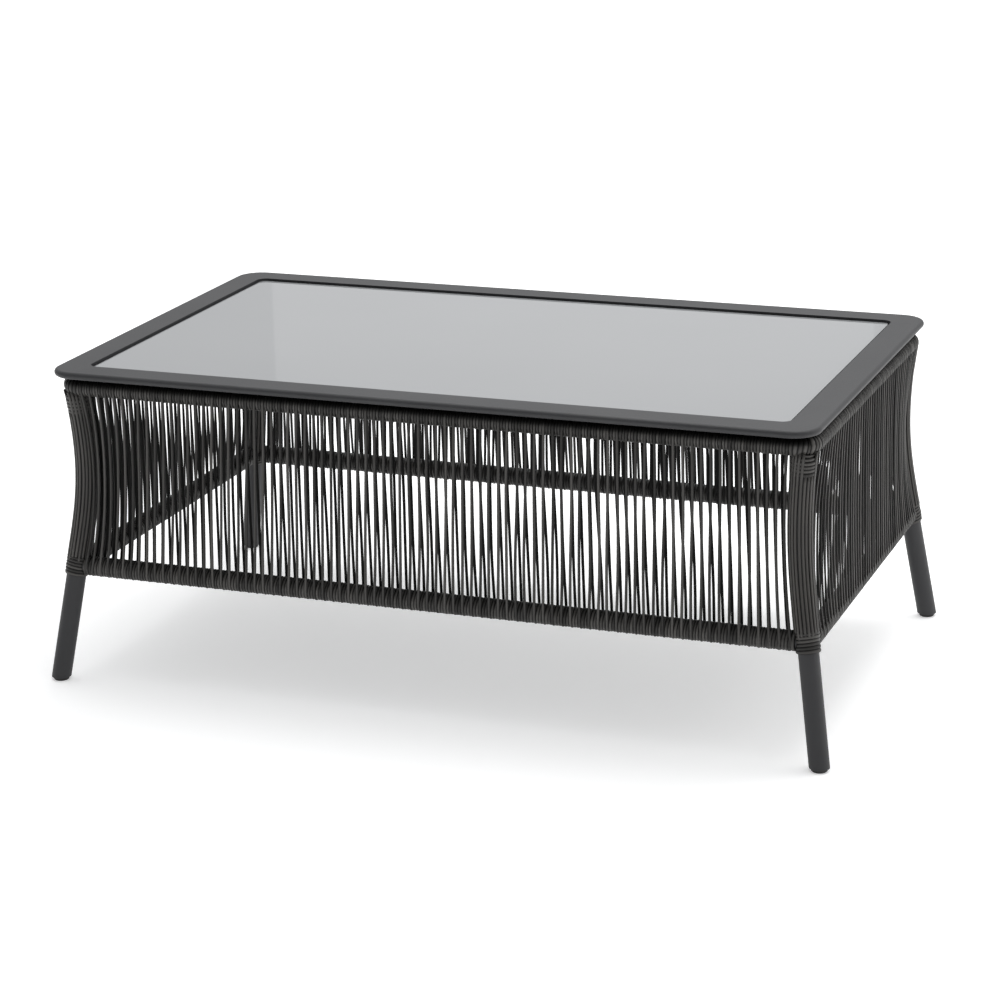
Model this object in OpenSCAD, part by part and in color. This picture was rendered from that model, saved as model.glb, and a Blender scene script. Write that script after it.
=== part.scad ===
// Woven garden coffee table: a flat tube rim with a drop-in glass top over a bent ring, four bent
// tube legs with a waist and a splayed foot, and four bottom rails. Oval cord is wound round the
// ring and the rails, and runs upright between them in two layers.
// Millimetres, +Z up, origin on the floor under the middle of the table, +X along the long side
// and -Y at the front. Corner pieces are drawn at the back right corner and mirrored to the others.

/* [Rim of the tabletop] */
// Length of the rim, left to right
rim_l = 1100; // [900:10:1300]
// Width of the rim, front to back
rim_w = 660; // [520:10:800]
// Height of the rim's top face above the floor
table_h = 460; // [420:5:520]
// Thickness of the rim's flat tube, which is also the diameter of its rounded nose
rim_t = 10; // [9:0.5:14]
// Width of the rim's flat tube
rim_border = 44; // [38:1:56]
// Radius of the rim's outer corners in plan
rim_corner_r = 38; // [30:1:44]
// Radius of the opening's corners in plan
opening_corner_r = 14; // [10:1:24]
// Wall of the rim's flat tube
rim_wall = 1.5; // [1:0.25:2.5]

/* [Glass] */
// Thickness of the glass plate
glass_t = 4; // [3:0.5:5]
// Gap between the glass and the rim, all round
glass_gap = 4; // [2:0.5:6]
// Thickness of the clear pads under the glass
pad_t = 0.8; // [0.5:0.1:2]
// Diameter of the clear pads
pad_d = 10; // [6:1:12]
// Width of the flat bars that carry the glass
ledge_w = 14; // [12:1:20]
// Thickness of the flat bars that carry the glass
ledge_t = 2; // [1.5:0.5:3]

/* [Ring under the rim] */
// Diameter of the ring's tube
ring_d = 19; // [16:1:20]
// Wall of the ring's tube
ring_wall = 1.2; // [1:0.1:2]
// Distance of the ring's axis inwards from the rim's left and right edges
ring_inset_x = 15; // [14:1:30]
// Distance of the ring's axis inwards from the rim's front and back edges
ring_inset_y = 34.5; // [28:0.5:44]
// Drop of the ring's axis below the rim's underside
ring_drop = 18.5; // [13:0.5:20]
// Radius of the ring's corner bends, on the axis
ring_bend_r = 22; // [18:1:30]
// Length of each spacer block between ring and rim
spacer_l = 24; // [16:1:40]
// Width of each spacer block
spacer_w = 10; // [8:1:12]
// Distance between the spacer blocks along the long sides
spacer_pitch = 350; // [250:10:380]

/* [Corner legs] */
// Diameter of the leg's tube
leg_d = 28; // [25:1:30]
// Wall of the leg's tube
leg_wall = 1.5; // [1.2:0.1:2]
// Height of the waist, where the leg leans most inwards
waist_z = 324; // [300:2:340]
// Distance from the leg's axis at the waist to the ring's axis above it, along the diagonal
waist_depth = 12.7; // [8:0.1:16]
// Radius of the leg's long bend
leg_bend_r = 480; // [420:10:560]
// Angle between the leg's straight part and the vertical, in the diagonal plane
splay = 12; // [9:0.5:14]
// Diameter of the leg's swaged top end, which is welded to the ring
swage_d = 19; // [16:1:20]
// Diameter of the foot glide
glide_d = 22; // [18:1:24]
// Height of the foot glide below the leg
glide_h = 5; // [3:0.5:8]
// Length of the glide's stem inside the leg
glide_stem_l = 18; // [12:1:30]

/* [Bottom rails] */
// Diameter of the bottom rails' tube
rail_d = 22; // [18:1:24]
// Wall of the bottom rails' tube
rail_wall = 1.5; // [1.2:0.1:2]
// Height of the bottom rails' axis
rail_z = 168; // [162:1:180]

/* [Woven cord] */
// Width of the oval cord
cord_w = 4.2; // [3.5:0.1:4.8]
// Thickness of the oval cord where it runs free
cord_t = 2.8; // [2:0.1:2.9]
// Thickness of the cord wound round a tube
wrap_t = 3; // [3:0.1:3.5]
// Distance from one strand to the next along the ring
strand_pitch = 12.7; // [11:0.1:20]
// Sideways step of an outer strand on its way down
outer_step = -6.5; // [-8:0.5:4]
// Sideways step of an inner strand on its way down
inner_step = 4; // [-4:0.5:8]
// Sideways distance at the ring from an outer strand to the inner one behind it
inner_lead = 1; // [-4:0.5:8]
// Bow of the strands towards the panel's middle, next to a leg
side_bow = 10; // [9:1:14]
// Distance from the leg over which that bow grows weaker and the sideways steps grow to their full size
side_bow_reach = 35; // [20:5:60]
// Bow of the strands into the table, next to a leg
inward_bow = 15; // [14:1:18]
// Distance from the leg over which the bow into the table grows weaker
inward_bow_reach = 90; // [60:5:120]
// Smallest bow that is drawn as an arc
least_bow = 2; // [1:0.5:4]
// Height of the collar wound round each leg where the rails meet it
collar_h = 28; // [26:1:32]
// Height of the band wound round each leg under the ring
neck_h = 22; // [14:1:30]
// Number of strands that run down each leg, side by side all round it
leg_strand_count = 20; // [8:1:20]

/* [Fits] */
// Gap between a tube and the cord on it
wrap_gap = 0.25; // [0.1:0.05:0.5]
// Gap left where one piece ends on another
end_gap = 0.3; // [0.1:0.05:0.5]
// Gap between the foot glide's stem and the tube
stem_gap = 0.15; // [0.05:0.05:0.3]

/* [Hidden] */
SIDES = ["front", "back", "left", "right"];
CORNERS = ["front_left", "front_right", "back_left", "back_right"];

METAL = [0.24, 0.24, 0.25];
CORD = [0.13, 0.13, 0.14];
GLASS = [0.72, 0.74, 0.75];
PLASTIC = [0.05, 0.05, 0.05];

$fn = 72;
ARC_FN = 720;      // steps in a full turn of a long bend
BEND_FN = 144;     // steps in a full turn of a short bend
SLEEVE_SIDES = 12; // the cord's sleeves have flat sides, which keeps their many joints exact
CORD_SIDES = 8;    // so does the cord itself
OVER = 1;          // how far a cutter reaches past what it cuts
BIG = 3000;        // larger than the table

// Radius of a sleeve's corners, for the radius across its flats
function across(r) = r / cos(180 / SLEEVE_SIDES);

// Rim and glass
rim_z = table_h - rim_t;                       // underside of the rim
nose_r = rim_t / 2;
nose_root = rim_t / 4;                         // how far the nose reaches into the flat part
pad_z = rim_z + ledge_t;                       // the ledges are flush with the rim's underside
glass_z = pad_z + pad_t;
open_l = rim_l - 2 * rim_border;
open_w = rim_w - 2 * rim_border;

// Ring
ring_r = ring_d / 2;
ring_x = rim_l / 2 - ring_inset_x;             // half distance between the ring's side axes
ring_y = rim_w / 2 - ring_inset_y;
ring_z = rim_z - ring_drop;
ring_sleeve_r = across(ring_r + wrap_gap + wrap_t);
spacer_z = ring_z + ring_r + end_gap;          // underside of the spacers
bend_cut = ring_bend_r * (1 - cos(45));        // how far a bend cuts the corner, along each axis

// Legs: the waist lies inwards from the middle of the ring's bend
leg_r = leg_d / 2;
swage_r = swage_d / 2;
waist_x = ring_x - bend_cut - waist_depth / sqrt(2);
waist_y = ring_y - bend_cut - waist_depth / sqrt(2);
tangent_z = waist_z - leg_bend_r * sin(splay); // where the straight part runs into the bend
tangent_out = leg_bend_r * (1 - cos(splay));   // and how far outside the waist that is
leg_wrap_r = leg_r + wrap_gap + wrap_t;
top_lean = asin((ring_z - waist_z) / leg_bend_r);
leg_top_z = ring_z - ring_sleeve_r - end_gap - leg_r * sin(top_lean);

// Rails and wraps
rail_r = rail_d / 2;
rail_wrap_r = rail_r + wrap_gap + wrap_t;
rail_sleeve_r = across(rail_wrap_r);
rail_x = waist_x + leg_out(rail_z) / sqrt(2);  // leg axis at the height of the rails
rail_y = waist_y + leg_out(rail_z) / sqrt(2);
ring_strand_off = ring_r + wrap_gap + wrap_t / 2;
rail_strand_off = rail_r + wrap_gap + wrap_t / 2;
leg_strand_off = leg_r + wrap_gap + cord_t / 2;
strand_tuck = 1;                               // strands end this far past a tube's middle plane

// ---- helpers ----

// Draws a piece of the back right corner at the corner that is named
module at_corner(c) {
    mirror([c == "front_left" || c == "back_left" ? 1 : 0, 0, 0])
        mirror([0, c == "front_left" || c == "front_right" ? 1 : 0, 0])
            children();
}

// Draws a piece of the front side at the side that is named; left and right use their own length
module at_side(s) {
    rotate([0, 0, s == "front" ? 0 : s == "right" ? 90 : s == "back" ? 180 : 270]) children();
}

function is_long(s) = s == "front" || s == "back";

// A tube of a length, along +Z
module tube(r, wall, length) {
    difference() {
        cylinder(r = r, h = length);
        translate([0, 0, -OVER]) cylinder(r = r - wall, h = length + 2 * OVER);
    }
}

// The frame of the back right leg: origin under the waist, +X outwards along the diagonal
module leg_frame() {
    translate([waist_x, waist_y, 0]) rotate([0, 0, 45]) children();
}

// How far outside the waist the leg's straight axis is at a height
function leg_out(z) = tangent_out + (tangent_z - z) * tan(splay);

// The leg's straight axis at a height, with +Z up along it
module on_straight(z) {
    leg_frame() translate([leg_out(z), 0, z]) rotate([0, -splay, 0]) children();
}

// The frame at the height where the straight part runs into the bend, with +Z up along the leg.
// Bend and straight meet in its plane z = 0, so that their ends match exactly.
module tangent_frame() {
    leg_frame() translate([tangent_out, 0, tangent_z]) rotate([0, -splay, 0]) children();
}

// Angle along the bend, from the tangent point up to a height
function bend_to(z) = splay + asin((z - waist_z) / leg_bend_r);

// Sweeps a 2D shape, with +X outwards, along the bend from one angle to another
module along_bend(angle, from = 0) {
    tangent_frame() translate([leg_bend_r, 0, 0]) rotate([90, 0, 0]) rotate([0, 0, 180 - from])
        rotate_extrude(angle = from - angle, $fn = ARC_FN) translate([leg_bend_r, 0])
            mirror([1, 0]) children();
}

// Sweeps it along the straight part, from the tangent point down to a height
module along_straight(z) {
    tangent_frame() mirror([0, 0, 1]) linear_extrude((tangent_z - z) / cos(splay))
        mirror([0, 1]) children();
}

// One corner bend of the ring as a solid rod
module ring_bend_rod(r, angle = 90) {
    translate([ring_x - ring_bend_r, ring_y - ring_bend_r, ring_z])
        rotate_extrude(angle = angle, $fn = BEND_FN) translate([ring_bend_r, 0]) circle(r = r);
}

// ---- rim and glass ----

module rounded_plan(l, w, r) {
    union() {
        square([l - 2 * r, w], center = true);
        square([l, w - 2 * r], center = true);
        for (x = [-1, 1], y = [-1, 1]) translate([x * (l / 2 - r), y * (w / 2 - r)]) circle(r = r);
    }
}

// The mitred region of the front rail of a frame l long and w wide, between its corner diagonals
module mitre_plan(l, w) {
    polygon([[-l / 2, -w / 2], [l / 2, -w / 2], [l / 2 - w / 2, 0], [w / 2 - l / 2, 0]]);
}

// The front rail's solid, shrunk by an inset on every face but the mitres
module rim_band(l, w, inset) {
    r = nose_r - inset;
    flat_off = nose_r;
    height = rim_t - 2 * inset;
    straight = l / 2 - rim_corner_r;
    union() {
        translate([0, 0, rim_z + inset]) linear_extrude(height) intersection() {
            difference() {
                rounded_plan(l - 2 * flat_off, w - 2 * flat_off, rim_corner_r - flat_off);
                rounded_plan(l - 2 * rim_border + 2 * inset, w - 2 * rim_border + 2 * inset,
                    opening_corner_r + inset);
            }
            mitre_plan(l, w);
        }
        translate([-straight, -w / 2 + flat_off, rim_z + nose_r]) rotate([90, 0, 90])
            linear_extrude(2 * straight) mirror([1, 0]) nose_profile(r);
        for (side = [-1, 1]) mirror([side < 0 ? 1 : 0, 0, 0])
            translate([straight, -w / 2 + rim_corner_r, rim_z + nose_r]) rotate([0, 0, -90])
                rotate_extrude(angle = 45, $fn = BEND_FN)
                    translate([rim_corner_r - flat_off, 0]) nose_profile(r);
    }
}

// Half round nose with a short root, standing out along +X
module nose_profile(r) {
    union() {
        intersection() {
            circle(r = r);
            translate([0, -r]) square([r, 2 * r]);
        }
        translate([-nose_root, -r]) square([nose_root, 2 * r]);
    }
}

module rim_rail(s) {
    l = is_long(s) ? rim_l : rim_w;
    w = is_long(s) ? rim_w : rim_l;
    color(METAL) at_side(s) difference() {
        rim_band(l, w, 0);
        rim_band(l, w, rim_wall);
    }
}

module glass_top() {
    color(GLASS) translate([0, 0, glass_z]) linear_extrude(glass_t)
        rounded_plan(open_l - 2 * glass_gap, open_w - 2 * glass_gap, opening_corner_r - glass_gap);
}

module glass_ledge(s) {
    l = (is_long(s) ? open_l : open_w) - 2 * opening_corner_r;
    w = is_long(s) ? open_w : open_l;
    color(METAL) at_side(s) translate([-l / 2, -w / 2, rim_z]) cube([l, ledge_w, ledge_t]);
}

module glass_pads() {
    pad_in = (glass_gap + ledge_w) / 2;
    color("white") translate([0, 0, pad_z]) {
        for (x = [-1, 0, 1], y = [-1, 1])
            translate([x * open_l * 0.4, y * (open_w / 2 - pad_in)]) cylinder(d = pad_d, h = pad_t);
        for (x = [-1, 1], y = [-1, 1])
            translate([x * (open_l / 2 - pad_in), y * open_w * 0.3]) cylinder(d = pad_d, h = pad_t);
    }
}

// ---- ring and spacers ----

module top_ring_tube() {
    color(METAL) union() {
        for (c = CORNERS) at_corner(c)
            translate([ring_x - ring_bend_r, ring_y - ring_bend_r, ring_z])
                rotate_extrude(angle = 90, $fn = BEND_FN) translate([ring_bend_r, 0]) difference() {
                    circle(r = ring_r);
                    circle(r = ring_r - ring_wall);
                }
        for (s = SIDES) {
            l = 2 * ((is_long(s) ? ring_x : ring_y) - ring_bend_r);
            y = is_long(s) ? ring_y : ring_x;
            at_side(s) translate([-l / 2, -y, ring_z]) rotate([0, 90, 0])
                tube(ring_r, ring_wall, l);
        }
    }
}

// Where the spacers stand along a side, measured from its middle
function spacer_places(s) = is_long(s) ? [-spacer_pitch, 0, spacer_pitch] : [0];

module spacer_block(s, gap) {
    y = is_long(s) ? ring_y : ring_x;
    for (x = spacer_places(s))
        translate([x - spacer_l / 2 - gap, -y - spacer_w / 2 - gap, spacer_z - gap])
            cube([spacer_l + 2 * gap, spacer_w + 2 * gap, rim_z - spacer_z + gap]);
}

module ring_spacers() {
    color(METAL) for (s = SIDES) at_side(s) spacer_block(s, 0);
}

// ---- rails, legs and feet ----

module bottom_rail(s) {
    reach = (is_long(s) ? rail_x : rail_y) - rail_r - end_gap;
    y = is_long(s) ? rail_y : rail_x;
    color(METAL) difference() {
        at_side(s) translate([-reach, -y, rail_z]) rotate([0, 90, 0])
            tube(rail_r, rail_wall, 2 * reach);
        for (c = CORNERS) at_corner(c) on_straight(rail_z)
            cylinder(r = leg_r + end_gap, h = 4 * leg_d, center = true);
    }
}

// The leg as solid rods, shrunk by an inset: the swaged top, the bend and the straight part
module leg_rods(inset, bottom_z) {
    union() {
        along_bend(bend_to(ring_z)) circle(r = swage_r - inset);
        along_bend(bend_to(leg_top_z - inset)) circle(r = leg_r - inset);
        along_straight(bottom_z) circle(r = leg_r - inset);
    }
}

// Everything below the height at which the leg stands on its glide
module below_leg() {
    leg_frame() translate([0, 0, glide_h - BIG / 2]) cube(BIG, center = true);
}

module corner_leg(c) {
    color(METAL) at_corner(c) difference() {
        leg_rods(0, -leg_d);
        leg_rods(leg_wall, -leg_d - OVER);
        below_leg();
        ring_bend_rod(ring_r + end_gap);
    }
}

module foot_glide(c) {
    chamfer = glide_h / 5;
    color(PLASTIC) at_corner(c) union() {
        difference() {
            on_straight(0) cylinder(r = leg_r - leg_wall - stem_gap, h = glide_h + glide_stem_l);
            below_leg();
        }
        leg_frame() translate([leg_out(glide_h), 0, 0]) {
            cylinder(r1 = glide_d / 2 - chamfer, r2 = glide_d / 2, h = chamfer);
            translate([0, 0, chamfer]) cylinder(d = glide_d, h = glide_h);
        }
    }
}

// ---- cord round the legs ----

module wrap_profile() {
    difference() {
        circle(r = leg_wrap_r);
        circle(r = leg_r + wrap_gap);
    }
}

neck_top = bend_to(leg_top_z - end_gap);
neck_bottom = bend_to(leg_top_z - end_gap - neck_h);
module neck_wrap(c) {
    color(CORD) at_corner(c) along_bend(neck_top, neck_bottom) wrap_profile();
}

module collar_wrap(c) {
    color(CORD) at_corner(c) difference() {
        on_straight(rail_z) translate([0, 0, -collar_h / 2]) linear_extrude(collar_h) wrap_profile();
        for (turn = [-90, 180]) translate([rail_x, rail_y, rail_z]) rotate([0, 90, turn])
            cylinder(r = rail_r + wrap_gap, h = 2 * leg_wrap_r);
    }
}

// Outline of the oval cord, wide along Y, as a polygon whose sides touch the oval
module cord_profile() {
    grow = 1 / cos(180 / CORD_SIDES);
    turns = [for (i = [0 : CORD_SIDES - 1]) (i + 0.5) * 360 / CORD_SIDES];
    polygon([for (a = turns) grow / 2 * [cord_t * cos(a), cord_w * sin(a)]]);
}

module leg_strand_profile(i) {
    rotate(i * 360 / leg_strand_count) translate([leg_strand_off, 0]) cord_profile();
}

// Strands that run down the leg all round it, from its neck to its collar
module leg_strands(c) {
    bottom_z = rail_z + (collar_h / 2 + end_gap) * cos(splay);
    top = neck_bottom - 2 * end_gap / leg_bend_r * 180 / PI;
    color(CORD) at_corner(c) for (i = [0 : leg_strand_count - 1]) union() {
        along_bend(top) leg_strand_profile(i);
        along_straight(bottom_z) leg_strand_profile(i);
    }
}

// ---- woven panels ----

// Cord between two points, straight, or as an arc that bows by the vector given. Its wide side
// faces along Y.
module strand(from, to, bow) {
    chord = to - from;
    length = norm(chord);
    depth = norm(bow);
    along = chord / length;
    if (depth < least_bow) {
        wide = cross(along, [0, -1, 0]) / norm(cross(along, [0, -1, 0]));
        columns(cross(wide, along), wide, along, from) linear_extrude(length) cord_profile();
    } else {
        r = (length * length / 4 + depth * depth) / (2 * depth);
        half = asin(length / (2 * r));
        side = bow / depth;
        normal = cross(side, along);
        columns(side, along, normal, (from + to) / 2 - side * (r - depth))
            rotate([0, 0, -half]) rotate_extrude(angle = 2 * half, $fn = ARC_FN)
                translate([r, 0]) rotate(atan2(normal.x, side.x) - 90) cord_profile();
    }
}

// Draws its children in the axes given as columns, about an origin
module columns(x, y, z, origin) {
    multmatrix([
        [x.x, y.x, z.x, origin.x],
        [x.y, y.y, z.y, origin.y],
        [x.z, y.z, z.z, origin.z],
        [0, 0, 0, 1]
    ]) children();
}

// A vector made square to a chord, with its length kept
function square_to(v, chord) =
    let (u = chord / norm(chord), w = v - u * (v * u)) norm(w) > 0 ? w / norm(w) * norm(v) : v;

// One layer of strands of the front panel, from the place of the first one at the ring. They spread
// a little from the reach of the ring to the reach of the rail.
module strand_layer(count, first, top_y, bottom_y, reach, rail_reach, step) {
    for (i = [0 : count - 1]) {
        x = first + i * strand_pitch;
        from_leg = reach - abs(x);
        near_leg = exp(-from_leg / side_bow_reach);
        top = [x, top_y, ring_z - strand_tuck];
        bottom_x = x * rail_reach / reach + step * (1 - near_leg);
        bottom = [bottom_x, bottom_y, rail_z + strand_tuck];
        bow = [
            -sign(x) * side_bow * near_leg,
            inward_bow * exp(-from_leg / inward_bow_reach),
            0
        ];
        strand(top, bottom, square_to(bow, bottom - top));
    }
}

// The outline of the cord wound round a tube, with flat sides up, down, in and out
module sleeve_profile(r, bore_r) {
    difference() {
        rotate(180 / SLEEVE_SIDES) circle(r = r, $fn = SLEEVE_SIDES);
        circle(r = bore_r);
    }
}

module straight_sleeve(r, bore_r, length) {
    rotate([0, 90, 0]) linear_extrude(length) sleeve_profile(r, bore_r);
}

// The sleeve of cord round one side of the ring, to the middle of the two bends
module ring_sleeve(half_l, y) {
    straight = half_l - ring_bend_r;
    half_bend = 45 - end_gap / ring_bend_r * 180 / PI / 2;
    bore_r = ring_r + wrap_gap;
    union() {
        translate([-straight, -y, ring_z]) straight_sleeve(ring_sleeve_r, bore_r, 2 * straight);
        for (side = [-1, 1]) mirror([side < 0 ? 1 : 0, 0, 0])
            translate([straight, -y + ring_bend_r, ring_z]) rotate([0, 0, -90])
                rotate_extrude(angle = half_bend, $fn = BEND_FN) translate([ring_bend_r, 0])
                    sleeve_profile(ring_sleeve_r, bore_r);
    }
}

module woven_panel(s) {
    ring_half = is_long(s) ? ring_x : ring_y;
    ring_off = is_long(s) ? ring_y : ring_x;
    rail_half = is_long(s) ? rail_x : rail_y;
    rail_off = is_long(s) ? rail_y : rail_x;
    reach = ring_half - ring_bend_r - cord_w;
    count = floor(2 * reach / strand_pitch) + 1;
    first = -(count - 1) * strand_pitch / 2;
    sleeve_half = rail_half - rail_wrap_r - end_gap;
    rail_reach = sleeve_half - cord_w;
    color(CORD) difference() {
        at_side(s) union() {
            ring_sleeve(ring_half, ring_off);
            translate([-sleeve_half, -rail_off, rail_z])
                straight_sleeve(rail_sleeve_r, rail_r + wrap_gap, 2 * sleeve_half);
            // The short sides are woven the other way round
            mirror([is_long(s) ? 0 : 1, 0, 0]) {
                strand_layer(count, first, -ring_off - ring_strand_off,
                    -rail_off - rail_strand_off, reach, rail_reach, outer_step);
                strand_layer(count - 1, first + inner_lead, -ring_off + ring_strand_off,
                    -rail_off + rail_strand_off, reach, rail_reach, inner_step);
            }
        }
        at_side(s) spacer_block(s, end_gap);
        for (c = CORNERS) at_corner(c) {
            on_straight(rail_z) cylinder(r = leg_wrap_r + end_gap, h = 4 * leg_d, center = true);
            along_bend(bend_to(ring_z)) circle(r = swage_r + wrap_gap);
        }
    }
}

glass_top();
glass_pads();
top_ring_tube();
ring_spacers();
for (s = SIDES) {
    rim_rail(s);
    glass_ledge(s);
    bottom_rail(s);
    woven_panel(s);
}
for (c = CORNERS) {
    corner_leg(c);
    neck_wrap(c);
    collar_wrap(c);
    leg_strands(c);
    foot_glide(c);
}
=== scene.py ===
import math

import bpy
import numpy as np
from mathutils import Matrix, Vector
from mathutils.bvhtree import BVHTree


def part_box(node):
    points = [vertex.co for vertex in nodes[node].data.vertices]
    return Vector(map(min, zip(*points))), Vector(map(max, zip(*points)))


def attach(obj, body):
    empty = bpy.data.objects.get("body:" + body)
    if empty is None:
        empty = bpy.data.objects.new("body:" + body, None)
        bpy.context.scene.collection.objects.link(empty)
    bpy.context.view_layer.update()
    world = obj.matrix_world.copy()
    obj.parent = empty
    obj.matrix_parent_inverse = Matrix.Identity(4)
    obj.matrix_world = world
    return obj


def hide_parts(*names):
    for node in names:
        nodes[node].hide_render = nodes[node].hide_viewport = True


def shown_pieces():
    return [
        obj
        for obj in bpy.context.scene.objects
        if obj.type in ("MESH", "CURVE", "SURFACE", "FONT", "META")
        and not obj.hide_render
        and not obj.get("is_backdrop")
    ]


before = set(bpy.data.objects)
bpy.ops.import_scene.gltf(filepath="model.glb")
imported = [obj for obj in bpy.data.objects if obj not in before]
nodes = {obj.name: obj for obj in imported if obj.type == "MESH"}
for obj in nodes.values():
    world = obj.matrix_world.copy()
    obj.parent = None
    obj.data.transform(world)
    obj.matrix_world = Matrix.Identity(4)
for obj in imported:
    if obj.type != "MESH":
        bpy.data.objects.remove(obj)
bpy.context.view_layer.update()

# Looks of the woven garden coffee table. The CAD rim, ring, rails, legs, glass and glides keep their
# shape and get their finish here. The cord is modelled turn by turn and strand by strand, and stands
# for the plain woven solids. Lengths are in metres.

MM = 0.001
UP = np.array((0.0, 0.0, 1.0))
SIDES = ("front", "right", "back", "left")      # each a quarter turn on from the one before
CORNERS = {"front_left": (-1, -1), "front_right": (1, -1), "back_left": (-1, 1), "back_right": (1, 1)}
SEED = 20261

# ---- camera and image points ----

IMAGE = 1000
CAMERA_PLACE = Vector((1.43106, -3.76658, 1.47101))
CAMERA_YAW, CAMERA_PITCH, CAMERA_ROLL = 20.828, 17.181, -1.104   # degrees
CAMERA_LENS, SENSOR = 104.708, 36.0                              # millimetres

# Where things show in the photograph, in pixels from its top left corner
POINTS = {
    "object_left": (52.0, None),
    "object_right": (937.0, None),
    "object_top": (None, 275.0),
    "object_bottom": (None, 772.8),
    "foot_front_left": (61.3, 678.0),
    "foot_front_right": (820.3, 770.4),
    "foot_back_left": (253.3, 543.2),
    "foot_back_right": (928.3, 618.8),
    "rim_leftmost": (57.2, 370.3),
    "rim_rightmost": (924.7, 326.0),
    "opening_front_left": (87.4, 365.9),
    "opening_front_right": (790.1, 422.3),
    "opening_back_left": (257.2, 279.6),
    "opening_back_right": (890.6, 319.2),
}


def make_camera():
    """The camera, placed and aimed as the photograph's."""
    yaw, pitch, roll = (math.radians(a) for a in (CAMERA_YAW, CAMERA_PITCH, CAMERA_ROLL))
    ahead = Vector((-math.sin(yaw) * math.cos(pitch), math.cos(yaw) * math.cos(pitch), -math.sin(pitch)))
    level = Vector((math.cos(yaw), math.sin(yaw), 0.0))
    above = level.cross(ahead)
    right = level * math.cos(roll) + above * math.sin(roll)
    top = above * math.cos(roll) - level * math.sin(roll)
    data = bpy.data.cameras.new("camera")
    data.sensor_fit = "AUTO"
    data.sensor_width = SENSOR
    data.lens = CAMERA_LENS
    data.clip_start, data.clip_end = 0.1, 60.0
    camera = bpy.data.objects.new("camera", data)
    bpy.context.scene.collection.objects.link(camera)
    turn = Matrix((right, top, -ahead)).transposed().to_4x4()
    camera.matrix_world = Matrix.Translation(CAMERA_PLACE) @ turn
    bpy.context.scene.camera = camera
    return camera


def in_image(camera, points):
    """Where points in metres show, in pixels."""
    axes = np.array(camera.matrix_world.to_3x3())
    seen = (np.asarray(points, float) - np.array(camera.matrix_world.translation)) @ axes
    scale = IMAGE * camera.data.lens / camera.data.sensor_width / -seen[..., 2]
    return np.stack([IMAGE / 2 + seen[..., 0] * scale, IMAGE / 2 - seen[..., 1] * scale], axis=-1)


# ---- materials ----

def new_material(name, **inputs):
    """A Principled material with the given values on the shader's own sockets."""
    material = bpy.data.materials.new(name)
    material.use_nodes = True
    shader = material.node_tree.nodes["Principled BSDF"]
    for socket, value in inputs.items():
        shader.inputs[socket.replace("_", " ")].default_value = value
    return material, shader


def add_node(material, kind, values=None, **settings):
    """A node of a kind, with its settings and its sockets' values."""
    node = material.node_tree.nodes.new(kind)
    for name, value in settings.items():
        setattr(node, name, value)
    for name, value in (values or {}).items():
        node.inputs[name].default_value = value
    return node


def link(material, source, target):
    material.node_tree.links.new(source, target)


def noise(material, vector, scale, detail=2.0, roughness=0.5):
    node = add_node(material, "ShaderNodeTexNoise",
                    {"Scale": scale, "Detail": detail, "Roughness": roughness})
    link(material, vector, node.inputs["Vector"])
    return node.outputs["Fac"]


def ramp(material, factor, stops):
    """Colours over a factor: stops are (position, colour)."""
    node = add_node(material, "ShaderNodeValToRGB")
    elements = node.color_ramp.elements
    while len(elements) < len(stops):
        elements.new(0.5)
    for element, (position, colour) in zip(elements, stops):
        element.position = position
        element.color = (*colour, 1.0)
    link(material, factor, node.inputs["Fac"])
    return node.outputs["Color"]


def spread(material, factor, low, high):
    """A factor from 0 to 1 stretched between two values."""
    node = add_node(material, "ShaderNodeMapRange", {"To Min": low, "To Max": high})
    link(material, factor, node.inputs["Value"])
    return node.outputs["Result"]


def bump(material, shader, height, distance, strength=1.0, under=None):
    node = add_node(material, "ShaderNodeBump", {"Distance": distance, "Strength": strength})
    link(material, height, node.inputs["Height"])
    if under is not None:
        link(material, under, node.inputs["Normal"])
    link(material, node.outputs["Normal"], shader.inputs["Normal"])
    return node.outputs["Normal"]


def powder_coat():
    """Charcoal powder coat on aluminium tube: a fine leathery grain with a soft sheen."""
    material, shader = new_material("powder_coat", Metallic=0.0, IOR=1.5, Specular_IOR_Level=0.32)
    place = add_node(material, "ShaderNodeTexCoord").outputs["Object"]
    grain = noise(material, place, 1400.0, 3.0, 0.6)
    peel = noise(material, place, 320.0, 2.0)
    clouds = noise(material, place, 9.0, 3.0)
    colour = ramp(material, clouds, [(0.3, (0.032, 0.032, 0.034)), (0.7, (0.039, 0.039, 0.041))])
    link(material, colour, shader.inputs["Base Color"])
    link(material, spread(material, grain, 0.42, 0.58), shader.inputs["Roughness"])
    soft = bump(material, shader, peel, 0.0003, 0.35)
    bump(material, shader, grain, 0.00012, 0.5, soft)
    return material


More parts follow.
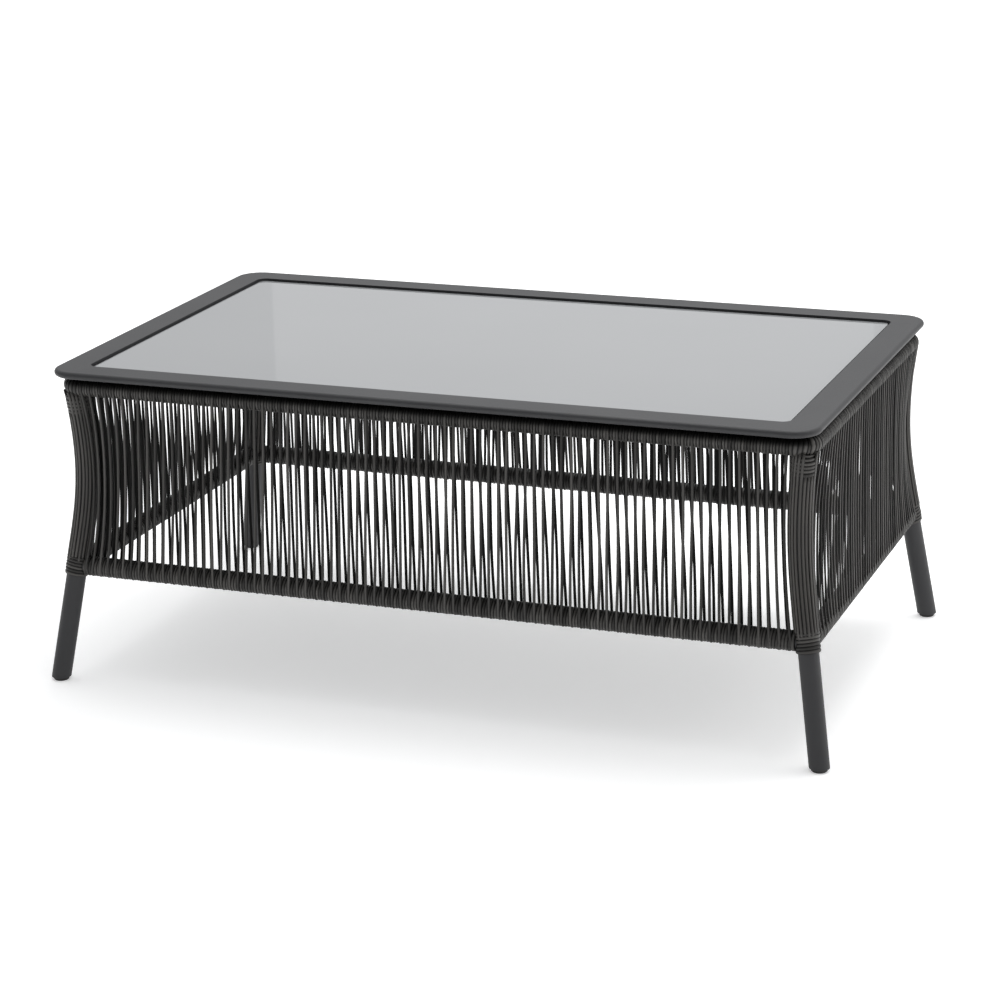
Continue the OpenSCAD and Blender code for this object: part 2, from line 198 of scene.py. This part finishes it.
def cord_resin():
    """Extruded resin cord: dark grey-brown and faintly ribbed along its length. Its colour also holds
    painted shade, which blackens its creases and darkens its sides and inner runs.
    """
    material, shader = new_material("cord_resin", Metallic=0.0, IOR=1.49)
    mark = add_node(material, "ShaderNodeAttribute", attribute_name="cord").outputs["Vector"]
    parts = add_node(material, "ShaderNodeSeparateXYZ")
    link(material, mark, parts.inputs["Vector"])
    stretch = add_node(material, "ShaderNodeVectorMath", {1: (1.0, 0.02, 0.0)}, operation="MULTIPLY")
    link(material, mark, stretch.inputs[0])
    ribs = noise(material, stretch.outputs["Vector"], 1.6, 2.0)
    place = add_node(material, "ShaderNodeTexCoord").outputs["Object"]
    clouds = noise(material, place, 14.0, 2.0)
    # The Z mark is the cord's random tone times its painted shade; this ramp turns it into colour.
    tone = ramp(material, parts.outputs["Z"], [
        (0.0, (0.002, 0.002, 0.002)),
        (0.3, (0.012, 0.012, 0.011)),
        (0.65, (0.034, 0.032, 0.030)),
        (1.0, (0.066, 0.062, 0.057)),
    ])
    shade = add_node(material, "ShaderNodeMix", {"Factor": 1.0}, data_type="RGBA", blend_type="MULTIPLY")
    link(material, tone, shade.inputs["A"])
    link(material, ramp(material, clouds, [(0.3, (0.80, 0.80, 0.80)), (0.7, (1.0, 0.99, 0.97))]),
         shade.inputs["B"])
    link(material, shade.outputs["Result"], shader.inputs["Base Color"])
    link(material, spread(material, ribs, 0.40, 0.60), shader.inputs["Roughness"])
    # The sheen follows the same mark, so the painted shade also dims the reflections in the creases and on
    # inner runs.
    link(material, spread(material, parts.outputs["Z"], 0.05, 0.55), shader.inputs["Specular IOR Level"])
    bump(material, shader, ribs, 0.0002, 0.6)
    return material


def grey_glass():
    """Toughened glass with a grey enamel under it: glossy on top, even light grey below."""
    material, shader = new_material("grey_glass", Metallic=0.0, IOR=1.5, Specular_IOR_Level=0.5)
    place = add_node(material, "ShaderNodeTexCoord").outputs["Object"]
    haze = noise(material, place, 2.5, 2.0)
    colour = ramp(material, haze, [(0.3, (0.250, 0.256, 0.262)), (0.7, (0.262, 0.268, 0.274))])
    link(material, colour, shader.inputs["Base Color"])
    link(material, spread(material, noise(material, place, 60.0), 0.02, 0.05), shader.inputs["Roughness"])
    return material


def glide_plastic():
    """Black moulded plastic of the foot glides."""
    material, shader = new_material("glide_plastic", Metallic=0.0, IOR=1.5)
    place = add_node(material, "ShaderNodeTexCoord").outputs["Object"]
    grain = noise(material, place, 900.0)
    link(material, ramp(material, noise(material, place, 40.0), [
        (0.3, (0.012, 0.012, 0.012)), (0.7, (0.020, 0.020, 0.020))]), shader.inputs["Base Color"])
    link(material, spread(material, grain, 0.5, 0.7), shader.inputs["Roughness"])
    bump(material, shader, grain, 0.0001, 0.4)
    return material


def clear_rubber():
    """Clear soft pads between the ledges and the glass."""
    material, shader = new_material("clear_rubber", Metallic=0.0, IOR=1.45, Transmission_Weight=0.7)
    place = add_node(material, "ShaderNodeTexCoord").outputs["Object"]
    link(material, ramp(material, noise(material, place, 200.0), [
        (0.3, (0.72, 0.74, 0.74)), (0.7, (0.82, 0.84, 0.84))]), shader.inputs["Base Color"])
    link(material, spread(material, noise(material, place, 500.0), 0.25, 0.4), shader.inputs["Roughness"])
    return material


FLOOR_NEAR, FLOOR_FAR = (0.8, 0.39), (3.0, 0.60)      # distance from the table's middle and glow there


def floor_white():
    """Matt white studio floor. It glows more away from the table, so that it stays white out of the
    softbox's reach."""
    material, shader = new_material(
        "floor_white", Metallic=0.0, Specular_IOR_Level=0.0, Roughness=0.9,
        Emission_Color=(1.0, 1.0, 1.0, 1.0))
    place = add_node(material, "ShaderNodeTexCoord").outputs["Object"]
    away = add_node(material, "ShaderNodeVectorMath", operation="LENGTH")
    link(material, place, away.inputs[0])
    glow = add_node(material, "ShaderNodeMapRange", {
        "From Min": FLOOR_NEAR[0], "To Min": FLOOR_NEAR[1],
        "From Max": FLOOR_FAR[0], "To Max": FLOOR_FAR[1]})
    link(material, away.outputs["Value"], glow.inputs["Value"])
    link(material, glow.outputs["Result"], shader.inputs["Emission Strength"])
    link(material, ramp(material, noise(material, place, 0.6), [
        (0.3, (0.90, 0.90, 0.90)), (0.7, (0.91, 0.91, 0.91))]), shader.inputs["Base Color"])
    return material


def dress(names, material):
    """Gives CAD nodes a material."""
    for name in names:
        slots = nodes[name].data.materials
        slots.clear()
        slots.append(material)


# ---- the cord ----

CORD_W, CORD_T = 4.2 * MM, 2.8 * MM     # the oval cord where it runs free
STRAND_PITCH = 12.7 * MM                # from one strand to the next along the ring
TURNS_PER_STRAND = 3                    # the strand's own turn and two more lie side by side
CREASE = 1.5 * MM                       # depth of the crease between two turns
CREASE_SHADE = 0.08                     # painted shade: how much of the cord's tone is left in a crease
HELIX = 0.9 * MM                        # how far a turn leans forward at its top and back at its bottom
OVAL_SIDES = 8                          # sides of a strand
ROUND_SIDES = 18                        # sides of a wound tube
TURN_STATIONS = (0, 0.12, 0.32, 0.68, 0.88)      # places across one turn, as shares of its width

RING_BEND = 22 * MM                     # radius of the ring's corner bends, on its axis
OUTER_STEP, INNER_STEP = -6.5 * MM, 4 * MM       # sideways steps of a strand on its way down
INNER_LEAD = 1 * MM                     # from an outer strand to the inner one behind it, at the ring
SIDE_BOW, SIDE_REACH = 10 * MM, 35 * MM          # bow towards the panel's middle, next to a leg
INWARD_BOW, INWARD_REACH = 15 * MM, 90 * MM      # bow into the table, next to a leg
PROUD = 0.35 * MM                       # how far a strand stands out where it passes over turns
INNER_PAINTED_SHADE = 0.2                        # painted shade on a strand's inner run: the share of its tone left there, where it lies in the table's shade
STRAND_TONES = (0.5, 1.0)               # range of the strands' tones
TURN_TONES = (0.55, 1.1)                # range of the turns' tones
TURN_LOOSE = 0.35                       # how far a turn may lie inside its radius, in millimetres
TURN_JITTER = 0.05                      # scatter of the turns' edges, as a share of a turn's width
SWAY, WAVE, LIFT = 0.9, 0.6, 0.4        # scatter of a strand's bow, its S-bend and its depth, in millimetres
STRAND_TWIST = 0.12                     # scatter of a strand's twist, in radians
LONG_SHADED, SHORT_SHADED = 52, 5       # degrees from straight up down to which the ring's cord gets painted shade, as from the rim, by side
SHADE_FADE, SHADE_LEAST = 30, 0.08      # degrees over which that painted shade fades, and the share of tone left in it
LEG_R, LEG_GAP, LEG_WOUND = 14 * MM, 0.25 * MM, 17.25 * MM
LEG_STRANDS = 20                        # strands side by side round a leg
LEG_TONES = (0.75, 1.0)                 # range of their tones
LEG_WANDER = 0.02                       # scatter of their place round the leg, in radians
LEG_SPAN = (0.12, 0.425)                # heights between which a leg's axis is read
LOW_STRANDS = (0, 1, LEG_STRANDS - 1)   # those on its outer side, which start below the neck
COLLAR_TURNS = 6                        # turns of cord round a leg at the rails
NECK_RISE = 9 * MM                      # how far the neck's turns run up on to the ring's
NECK_TAPER = (0, 0, 0, 0, 1.5, 3.5)     # how much smaller each of them is than the collar's, in millimetres


class CordMesh:
    """Collects closed lengths of cord into one mesh. Each point carries the place across and along
    the cord, in millimetres, and the cord's tone times its painted shade, from 0 to 1."""

    def __init__(self):
        self.points, self.marks, self.quads, self.caps, self.count = [], [], [], [], 0

    def add(self, rings, marks):
        """A tube through rings of points, which run anticlockwise seen from its far end."""
        rows, around = rings.shape[:2]
        index = self.count + np.arange(rows * around).reshape(rows, around)
        following = np.roll(index, -1, axis=1)
        quads = np.stack([index[:-1], following[:-1], following[1:], index[1:]], axis=-1)
        self.points.append(rings.reshape(-1, 3))
        self.marks.append(np.broadcast_to(marks, rings.shape).reshape(-1, 3))
        self.quads.append(quads.reshape(-1, 4))
        self.caps += [index[0][::-1].tolist(), index[-1].tolist()]
        self.count += rows * around

    def finish(self, name, material):
        points = np.concatenate(self.points)
        faces = np.concatenate(self.quads).tolist() + self.caps
        mesh = bpy.data.meshes.new(name)
        mesh.from_pydata(points.tolist(), [], faces)
        smooth = [True] * (len(faces) - len(self.caps)) + [False] * len(self.caps)
        mesh.polygons.foreach_set("use_smooth", smooth)
        mark = mesh.attributes.new("cord", "FLOAT_VECTOR", "POINT")
        mark.data.foreach_set("vector", np.concatenate(self.marks).astype(np.float32).ravel())
        mesh.materials.append(material)
        mesh.update()
        piece = bpy.data.objects.new(name, mesh)
        bpy.context.scene.collection.objects.link(piece)
        return piece


def unit(vectors):
    return vectors / np.linalg.norm(vectors, axis=-1, keepdims=True)


def add_strand(cord, centres, wide, rng, tone, twist=0.0, edge_shade=0.75):
    """Oval cord along a row of points, its wide side along a given direction."""
    centres = np.asarray(centres, float)
    along = unit(np.gradient(centres, axis=0))
    wide = unit(wide - along * np.sum(wide * along, axis=-1, keepdims=True))
    thin = np.cross(wide, along)
    run = np.concatenate([[0], np.cumsum(np.linalg.norm(np.diff(centres, axis=0), axis=-1))])
    turn = np.linspace(0, 2 * math.pi, OVAL_SIDES, endpoint=False)[None, :] + math.pi / OVAL_SIDES
    lean = twist * np.sin(run / run[-1] * math.pi)[:, None]
    across = CORD_W / 2 * np.sin(turn) * np.cos(lean) - CORD_T / 2 * np.cos(turn) * np.sin(lean)
    through = CORD_T / 2 * np.cos(turn) * np.cos(lean) + CORD_W / 2 * np.sin(turn) * np.sin(lean)
    rings = centres[:, None] + across[..., None] * wide[:, None] + through[..., None] * thin[:, None]
    # Painted shade on the strand's sides: edge_shade takes that share of its tone away at its edges
    edge = np.abs(np.sin(turn)) ** 4
    marks = np.empty(rings.shape)
    marks[..., 0] = CORD_W / MM * np.sin(turn)
    marks[..., 1] = run[:, None] / MM + rng.uniform(0, 500)
    marks[..., 2] = np.broadcast_to(tone, len(centres))[:, None] * (1 - edge_shade * edge)
    cord.add(rings, marks)


def add_winding(cord, path, edges, radii, rng, skew=0.35 * MM, shade=1.0):
    """Cord wound round a tube: one turn between each edge and the next. path gives, for distances
    along the tube's axis, the axis, the direction that the angles start from, and the direction
    along the tube. The radius is one for all or one for each turn, and the painted shade one for each angle."""
    shares = np.array(TURN_STATIONS)
    dips = CREASE * (1 - np.sqrt(1 - (2 * shares - 1) ** 2))
    turns = len(edges) - 1
    angle = np.linspace(0, 2 * math.pi, ROUND_SIDES, endpoint=False)
    lean = HELIX * np.cos(angle) + rng.normal(0, skew, turns + 1)[:, None] * np.cos(angle - 1.0)
    lean[[0, -1]] = 0
    at = edges[:, None] + lean
    rows = at[:-1, None, :] + shares[None, :, None] * (at[1:] - at[:-1])[:, None, :]
    rows = np.concatenate([rows.reshape(-1, ROUND_SIDES), at[-1:]])
    loose = rng.uniform(-TURN_LOOSE, 0.0, turns)[:, None] * MM * (dips < CREASE)
    radii = np.broadcast_to(radii, turns)[:, None]
    size = np.append((radii - dips + loose).ravel(), radii[-1] - CREASE)
    axis, start, along = path(rows)
    other = np.cross(along, start)
    spokes = np.cos(angle)[None, :, None] * start + np.sin(angle)[None, :, None] * other
    rings = axis + size[:, None, None] * spokes
    # Painted shade: each turn darkens towards its creases, down to CREASE_SHADE in them
    tones_and_shade = np.where(dips < CREASE, 1 - 1.5 * dips / CREASE, CREASE_SHADE)
    tones_and_shade = rng.uniform(*TURN_TONES, turns)[:, None] * tones_and_shade
    marks = np.empty(rings.shape)
    marks[..., 0] = (np.tile(shares, turns + 1)[:len(rows)] * CORD_W / MM)[:, None]
    marks[..., 1] = angle[None, :] * radii[0] / MM
    marks[..., 1] += np.append(np.repeat(rng.uniform(0, 500, turns), len(shares)), 0)[:, None]
    marks[..., 2] = np.append(tones_and_shade.ravel(), 0)[:, None] * shade
    cord.add(rings, marks)


def painted_rim_shade(angle, shaded):
    """Painted shade on the ring's cord at an angle from straight up: the share of its tone that is left,
    as if the rim kept the light off down to a given angle."""
    return np.clip((np.degrees(angle) - shaded) / SHADE_FADE, SHADE_LEAST, 1)


def turn_edges(length, middle, width, rng):
    """Edges of the turns that fill a length about 0, with one turn's middle at a given place."""
    first = math.ceil((-length / 2 - middle) / width - 0.5)
    last = math.floor((length / 2 - middle) / width - 0.5)
    inner = (np.arange(first, last + 1) + 0.5) * width + middle
    inner = inner + rng.normal(0, TURN_JITTER, len(inner)) * width
    inner = inner[np.abs(inner) < (length - width) / 2]
    return np.concatenate([[-length / 2], inner, [length / 2]])


def at_side(side, points):
    """Turns points drawn for the front side to the side that is named."""
    angle = SIDES.index(side) * math.pi / 2
    c, s = round(math.cos(angle)), round(math.sin(angle))
    return np.asarray(points) @ np.array(((c, s, 0), (-s, c, 0), (0, 0, 1)), float)


def weave_panel(side, material):
    """Cord wound round one side of the ring and one bottom rail, and the strands between them: each
    runs down outside, under the rail and up inside."""
    rng = np.random.default_rng(SEED + SIDES.index(side))
    ring_lo, ring_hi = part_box("top_ring_tube")
    panel_lo, panel_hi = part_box(f"woven_panel_{side}")
    rail_lo, rail_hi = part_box(f"bottom_rail_{side}")
    across, through = (0, 1) if side in ("front", "back") else (1, 0)
    hand = 1 if across == 0 else -1     # the short sides are woven the other way round
    # There the ring lies close to the rim's edge, so less of it gets the rim's painted shade
    shaded = LONG_SHADED if across == 0 else SHORT_SHADED
    ring_r = (ring_hi.z - ring_lo.z) / 2
    ring_z, rail_z = (ring_hi.z + ring_lo.z) / 2, (rail_hi.z + rail_lo.z) / 2
    ring_half, ring_off = ring_hi[across] - ring_r, ring_hi[through] - ring_r
    rail_off = abs(rail_hi[through] + rail_lo[through]) / 2
    ring_wound, rail_wound = panel_hi.z - ring_z, rail_z - panel_lo.z
    straight = ring_half - RING_BEND
    end_lo, end_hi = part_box("bottom_rail_right" if across == 0 else "bottom_rail_back")
    rail_half = (end_hi[across] + end_lo[across]) / 2 - rail_wound
    reach = straight - CORD_W
    fan = (rail_half - CORD_W) / reach
    count = math.floor(2 * reach / STRAND_PITCH) + 1
    first = -(count - 1) * STRAND_PITCH / 2

    def ring_path(s):
        past = np.sign(s) * np.maximum(np.abs(s) - straight, 0) / RING_BEND
        axis = np.stack([np.clip(s, -straight, straight) + RING_BEND * np.sin(past),
                         RING_BEND * (1 - np.cos(past)) - ring_off, np.full_like(s, ring_z)], axis=-1)
        along = np.stack([np.cos(past), np.sin(past), np.zeros_like(s)], axis=-1)
        return at_side(side, axis), UP, at_side(side, along)

    def rail_path(s):
        axis = np.stack([s, np.full_like(s, -rail_off), np.full_like(s, rail_z)], axis=-1)
        return at_side(side, axis), UP, at_side(side, np.broadcast_to((1.0, 0.0, 0.0), axis.shape))

    cord = CordMesh()
    ring_length = 2 * (straight + RING_BEND * math.pi / 4)
    turn_w = STRAND_PITCH / TURNS_PER_STRAND
    angle = np.linspace(0, 2 * math.pi, ROUND_SIDES, endpoint=False)
    # The tops of the ring's turns get painted shade, as from the rim above them
    add_winding(cord, ring_path, turn_edges(ring_length, first, turn_w, rng), ring_wound, rng,
                shade=painted_rim_shade(np.minimum(angle, 2 * math.pi - angle), shaded))
    rail_edges = turn_edges(2 * rail_half, hand * (first * fan + OUTER_STEP), turn_w * fan, rng)
    add_winding(cord, rail_path, rail_edges, rail_wound, rng)

    u = np.linspace(0, 1, 13)
    arch = 4 * u * (1 - u)
    over = np.radians((40, 62, 80))
    under = np.linspace(0, math.pi, 9)[1:-1]
    strand_off = ring_wound - CORD_T / 2
    rail_turn = rail_wound + PROUD - CORD_T / 2

    def bottom_of(x, step):
        return x * fan + step * (1 - math.exp(-(reach - abs(x)) / SIDE_REACH))

    def hang(top_x, bottom_x, top_out, bottom_out):
        """One strand between ring and rail, a little slack and never quite straight."""
        near = reach - abs(top_x)
        calm = min(1.0, near / (2 * INWARD_REACH) + 0.15)
        pull = -math.copysign(SIDE_BOW, top_x) * math.exp(-near / SIDE_REACH)
        sink = INWARD_BOW * math.exp(-near / INWARD_REACH)
        sway = rng.normal(0, SWAY) * np.sin(math.pi * u) + rng.normal(0, WAVE) * np.sin(2 * math.pi * u)
        lift = rng.normal(0, LIFT) * np.sin(math.pi * u)
        out = top_out + (bottom_out - top_out) * u - sink * arch + calm * lift * MM
        xs = top_x + (bottom_x - top_x) * u + pull * arch + calm * sway * MM
        return np.stack([xs, -out, ring_z + (rail_z - ring_z) * u], axis=-1)

    for i in range(count):
        x = first + i * STRAND_PITCH
        tone = rng.uniform(*STRAND_TONES)
        low = bottom_of(x, OUTER_STEP)
        behind = x - STRAND_PITCH + INNER_LEAD
        behind_low = bottom_of(behind, INNER_STEP)
        rise = np.stack([np.full_like(over, x), -ring_off - strand_off * np.sin(over),
                         ring_z + strand_off * np.cos(over)], axis=-1)
        turn = np.stack([low + (behind_low - low) * under / math.pi,
                         -rail_off - rail_turn * np.cos(under),
                         rail_z - rail_turn * np.sin(under)], axis=-1)
        parts = [rise, hang(x, low, ring_off + strand_off, rail_off + rail_turn), turn]
        # Painted shade: a strand darkens where it rises over the ring under the rim, and from the rail to
        # its inner run
        tones_and_shade = [tone * painted_rim_shade(over, shaded), np.full(len(u), tone),
                 np.linspace(tone, tone * INNER_PAINTED_SHADE, len(under))]
        if i > 0:
            parts.append(hang(behind, behind_low, ring_off - strand_off, rail_off - rail_turn)[::-1])
            tones_and_shade.append(np.full(len(u), tone * INNER_PAINTED_SHADE))
        centres = np.concatenate(parts) * (hand, 1, 1)
        add_strand(cord, at_side(side, centres), at_side(side, (1.0, 0.0, 0.0)), rng,
                   np.concatenate(tones_and_shade), rng.normal(0, STRAND_TWIST))
    return woven(cord, f"wicker_{side}", f"woven_panel_{side}", material)


def woven(cord, name, stands_for, material):
    """The finished piece, in the place of the plain CAD solid that it stands for."""
    piece = cord.finish(name, material)
    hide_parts(stands_for)
    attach(piece, "frame")
    return piece


# ---- cord round the legs ----

def leg_axis(corner):
    """The leg's axis, read off the CAD leg: a function from height to the axis, the direction away
    from the table's middle and the direction upwards."""
    leg = nodes[f"corner_leg_{corner}"]
    tree = BVHTree.FromPolygons([v.co for v in leg.data.vertices], [p.vertices for p in leg.data.polygons])
    sx, sy = CORNERS[corner]
    out = Vector((sx, sy, 0)).normalized()
    lo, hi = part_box(f"corner_leg_{corner}")
    middle = (lo + hi) / 2
    heights = np.linspace(*LEG_SPAN, 40)
    spine = []
    for z in heights:
        start = Vector((middle.x, middle.y, z))
        outer = tree.ray_cast(start + out * 0.2, -out)[0]
        inner = tree.ray_cast(start - out * 0.2, out)[0]
        spine.append((outer + inner) / 2)
    spine = np.array(spine)
    fits = [np.polyfit(heights, spine[:, axis], 6) for axis in (0, 1)]

    def path(z):
        z = np.asarray(z, float)
        axis = np.stack([np.polyval(fits[0], z), np.polyval(fits[1], z), z], axis=-1)
        along = np.stack([np.polyval(np.polyder(fits[0]), z), np.polyval(np.polyder(fits[1]), z),
                          np.ones_like(z)], axis=-1)
        along = unit(along)
        away = unit(np.array(out) - along * np.sum(np.array(out) * along, axis=-1, keepdims=True))
        return axis, away, along

    return path


def dress_leg(corner, material):
    """The neck and the collar wound round a leg, and the strands that run down it between them."""
    rng = np.random.default_rng(SEED + 10 + list(CORNERS).index(corner))
    path = leg_axis(corner)
    pieces = []
    radii = {"neck": LEG_WOUND - np.array(NECK_TAPER) * MM, "collar": np.full(COLLAR_TURNS, LEG_WOUND)}
    for kind, rise in (("neck", NECK_RISE), ("collar", 0.0)):
        lo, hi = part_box(f"{kind}_wrap_{corner}")
        tilt = path((lo.z + hi.z) / 2)[2]
        trim = LEG_WOUND * math.hypot(tilt[0], tilt[1])
        edges = np.linspace(lo.z + trim, hi.z - trim + rise, len(radii[kind]) + 1)
        cord = CordMesh()
        add_winding(cord, path, edges, radii[kind], rng, 0.15 * MM)
        pieces.append(woven(cord, f"wicker_{kind}_{corner}", f"{kind}_wrap_{corner}", material))

    strands_lo, strands_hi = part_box(f"leg_strands_{corner}")
    collar_lo, collar_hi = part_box(f"collar_wrap_{corner}")
    neck_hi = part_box(f"neck_wrap_{corner}")[1]
    turn_h = (collar_hi.z - collar_lo.z) / (COLLAR_TURNS + 1)
    cord = CordMesh()
    for i in range(LEG_STRANDS):
        top = strands_hi.z if i in LOW_STRANDS else neck_hi.z + NECK_RISE
        bottom = strands_lo.z - turn_h * rng.uniform(0.7, 2.2)
        z = np.linspace(top, bottom, 26)
        axis, away, along = path(z)
        side = np.cross(along, away)
        over_neck = np.clip((z - strands_hi.z) / turn_h + 0.8, 0, 1) * (i not in LOW_STRANDS)
        over_collar = np.clip((strands_lo.z - z) / turn_h + 1.0, 0, 1)
        tuck = np.clip((bottom + turn_h - z) / turn_h, 0, 1)
        off = LEG_R + LEG_GAP + CORD_T / 2 - tuck * CORD_T
        off = off + (over_neck + over_collar) * (LEG_WOUND + PROUD - CORD_T - LEG_R - LEG_GAP)
        wander = rng.normal(0, LEG_WANDER) * np.sin(np.linspace(0, math.pi, len(z)))[:, None]
        a = 2 * math.pi * i / LEG_STRANDS + wander
        spoke = away * np.cos(a) + side * np.sin(a)
        wide = side * np.cos(a) - away * np.sin(a)
        centres = axis + off[:, None] * spoke
        # Round a leg the strands get a lighter painted shade on their sides
        add_strand(cord, centres, wide, rng, rng.uniform(*LEG_TONES), edge_shade=0.4)
    pieces.append(woven(cord, f"wicker_leg_strands_{corner}", f"leg_strands_{corner}", material))
    return pieces


# ---- stage ----

FLOOR_SIZE = 40.0
SKY_FROM = (0.08, 0.62, 0.78)            # direction that most of the soft light comes from
SKY_LOW, SKY_HIGH = 0.22, 1.05           # strength of the soft light from behind the camera and from there
SKY_FACING = (-0.3, 1.0)                 # how far a direction faces that way, from low to high
SEEN_STRENGTH = 1.0                      # white behind the table
SHED_COLOUR = (0.98, 0.99, 1.0, 1)
OVERHEAD = {"place": (0.3, 0.6, 2.9), "aim": (0.1, 0.1, 0.0), "size": (2.4, 2.4), "power": 48}
FROM_RIGHT = {"place": (3.0, 0.9, 1.5), "aim": (0.2, 0.0, 0.3), "size": (1.6, 1.6), "power": 9,
              "colour": (1.0, 0.97, 0.93)}
CARD_AWAY = 10.0                         # distance of the reflected card from the camera
CARD_EDGES = (-4.5, 7.6)                 # its left and right edge, in degrees from the camera's heading
CARD_MIDDLE, CARD_TALL, CARD_POWER = 2.1, 2.4, 2.4   # its middle's height, its own height, and its power


def area_light(name, place, aim, size, power, colour=(1, 1, 1)):
    data = bpy.data.lights.new(name, "AREA")
    data.shape = "RECTANGLE"
    data.size, data.size_y = size
    data.energy = power
    data.color = colour
    light = bpy.data.objects.new(name, data)
    light.location = place
    light.rotation_mode = "QUATERNION"
    light.rotation_quaternion = (Vector(aim) - Vector(place)).to_track_quat("-Z", "Y")
    bpy.context.scene.collection.objects.link(light)


def lay_floor():
    half = FLOOR_SIZE / 2
    mesh = bpy.data.meshes.new("floor")
    corners = [(-half, -half, 0), (half, -half, 0), (half, half, 0), (-half, half, 0)]
    mesh.from_pydata(corners, [], [(0, 1, 2, 3)])
    mesh.materials.append(floor_white())
    floor = bpy.data.objects.new("floor", mesh)
    bpy.context.scene.collection.objects.link(floor)
    floor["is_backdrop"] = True


def light_world():
    """Plain white behind the table, and soft light that comes mostly from one direction."""
    world = bpy.data.worlds.new("studio")
    bpy.context.scene.world = world
    world.use_nodes = True
    tree = world.node_tree
    tree.nodes.clear()
    output = tree.nodes.new("ShaderNodeOutputWorld")
    seen, shed = (tree.nodes.new("ShaderNodeBackground") for _ in range(2))
    seen.inputs["Strength"].default_value = SEEN_STRENGTH
    seen.inputs["Color"].default_value = (1, 1, 1, 1)
    shed.inputs["Color"].default_value = SHED_COLOUR
    coords = tree.nodes.new("ShaderNodeTexCoord")
    facing = tree.nodes.new("ShaderNodeVectorMath")
    facing.operation = "DOT_PRODUCT"
    facing.inputs[1].default_value = SKY_FROM
    tree.links.new(coords.outputs["Generated"], facing.inputs[0])
    strength = tree.nodes.new("ShaderNodeMapRange")
    ends = {"From Min": SKY_FACING[0], "From Max": SKY_FACING[1], "To Min": SKY_LOW, "To Max": SKY_HIGH}
    for name, value in ends.items():
        strength.inputs[name].default_value = value
    tree.links.new(facing.outputs["Value"], strength.inputs["Value"])
    tree.links.new(strength.outputs["Result"], shed.inputs["Strength"])
    mix = tree.nodes.new("ShaderNodeMixShader")
    rays = tree.nodes.new("ShaderNodeLightPath")
    tree.links.new(rays.outputs["Is Camera Ray"], mix.inputs[0])
    tree.links.new(shed.outputs[0], mix.inputs[1])
    tree.links.new(seen.outputs[0], mix.inputs[2])
    tree.links.new(mix.outputs[0], output.inputs["Surface"])


def hang_card():
    """A bright card ahead of the camera, which the glass mirrors."""
    left, right = (CARD_AWAY * math.tan(math.radians(a)) for a in CARD_EDGES)
    yaw = math.radians(CAMERA_YAW)
    ahead = Vector((-math.sin(yaw), math.cos(yaw), 0.0))
    level = Vector((math.cos(yaw), math.sin(yaw), 0.0))
    middle = CAMERA_PLACE + ahead * CARD_AWAY + level * (left + right) / 2
    middle.z = CARD_MIDDLE
    area_light("card", middle, middle - ahead, (right - left, CARD_TALL), CARD_POWER)


def set_stage():
    lay_floor()
    light_world()
    area_light("overhead", **OVERHEAD)
    area_light("from_right", **FROM_RIGHT)
    hang_card()
    bpy.context.scene.view_settings.view_transform = "Standard"


# ---- everything together ----

camera = make_camera()
metal, resin = powder_coat(), cord_resin()
METAL_NODES = ("rim_rail", "glass_ledge", "ring_spacers", "top_ring", "bottom_rail", "corner_leg")
dress([n for n in nodes if n.startswith(METAL_NODES)], metal)
dress(["glass_top"], grey_glass())
dress(["glass_pads"], clear_rubber())
dress([n for n in nodes if n.startswith("foot_glide")], glide_plastic())
wicker = [weave_panel(side, resin) for side in SIDES]
for corner in CORNERS:
    wicker += dress_leg(corner, resin)
set_stage()


def finished_points(pieces):
    """The vertices of the pieces as rendered."""
    graph = bpy.context.evaluated_depsgraph_get()
    found = []
    for piece in pieces:
        shape = piece.evaluated_get(graph)
        mesh = shape.to_mesh()
        co = np.empty(len(mesh.vertices) * 3)
        mesh.vertices.foreach_get("co", co)
        turn = np.array(shape.matrix_world.to_3x3())
        found.append(co.reshape(-1, 3) @ turn.T + np.array(shape.matrix_world.translation))
        shape.to_mesh_clear()
    return np.concatenate(found)


def measure_points():
    """How far each named thing shows from its image point, in pixels."""
    shown = in_image(camera, finished_points(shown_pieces()))
    rim = finished_points([nodes[f"rim_rail_{side}"] for side in SIDES])
    rim_shown = in_image(camera, rim)
    open_x, open_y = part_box("glass_ledge_right")[1].x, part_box("glass_ledge_back")[1].y
    places = {
        "object_left": shown[shown[:, 0].argmin()],
        "object_right": shown[shown[:, 0].argmax()],
        "object_top": shown[shown[:, 1].argmin()],
        "object_bottom": shown[shown[:, 1].argmax()],
        "rim_leftmost": rim_shown[rim_shown[:, 0].argmin()],
        "rim_rightmost": rim_shown[rim_shown[:, 0].argmax()],
    }
    for corner, (sx, sy) in CORNERS.items():
        glide = finished_points([nodes[f"foot_glide_{corner}"]])
        base = glide[glide[:, 2] < MM / 2]
        places[f"foot_{corner}"] = in_image(camera, (base.min(0) + base.max(0)) / 2)
        places[f"opening_{corner}"] = in_image(camera, (sx * open_x, sy * open_y, rim[:, 2].max()))
    return {
        name: [None if want is None else round(float(got) - want, 2)
               for got, want in zip(places[name], point)]
        for name, point in POINTS.items()
    }


measure_points()
